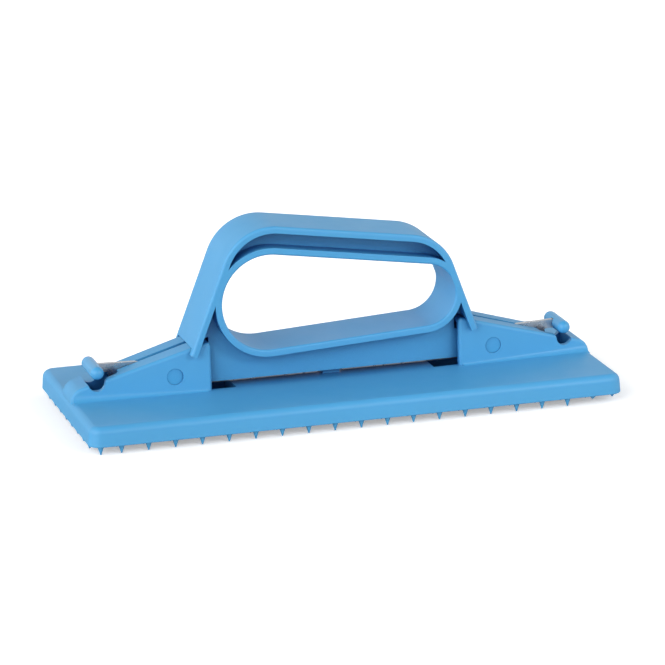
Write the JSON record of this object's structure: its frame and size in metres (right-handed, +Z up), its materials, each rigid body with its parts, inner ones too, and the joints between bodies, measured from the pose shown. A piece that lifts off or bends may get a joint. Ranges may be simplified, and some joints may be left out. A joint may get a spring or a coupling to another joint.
{
  "type": "scouring pad holder",
  "caption": "Hand-held scouring pad holder: long spiked plastic plate, closed loop grip with a web below, and pivoting steel clamp levers with crossbar grips at both ends.",
  "frame": {"origin": "middle of the plate at the level of the spike tips", "axes": "+X along the plate's length towards the right end of the picture, +Y away from the viewer, +Z up through the handle"},
  "size_m": [0.235, 0.098, 0.0822],
  "materials": {
    "blue_plastic": "satin moulded polypropylene",
    "grip_plastic": "smooth moulded",
    "stainless_steel": "brushed, sheared edges"
  },
  "bodies": {
    "body": {"base_plate": "blue_plastic", "handle": "blue_plastic", "pivot_pin_left": "grip_plastic", "pivot_pin_right": "grip_plastic"},
    "left_clamp": {"lever_left": "stainless_steel", "grip_left": "grip_plastic"},
    "right_clamp": {"lever_right": "stainless_steel", "grip_right": "grip_plastic"}
  },
  "joints": [
    {"name": "left_clamp_pivot", "type": "hinge", "parent": "body", "child": "left_clamp", "pos_m": [-0.0713, 0, 0.0195], "axis": [0, -1, 0], "range_deg": [0, 7.4]},
    {"name": "right_clamp_pivot", "type": "hinge", "parent": "body", "child": "right_clamp", "pos_m": [0.0713, 0, 0.0195], "axis": [0, 1, 0], "range_deg": [0, 7.4]}
  ]
}
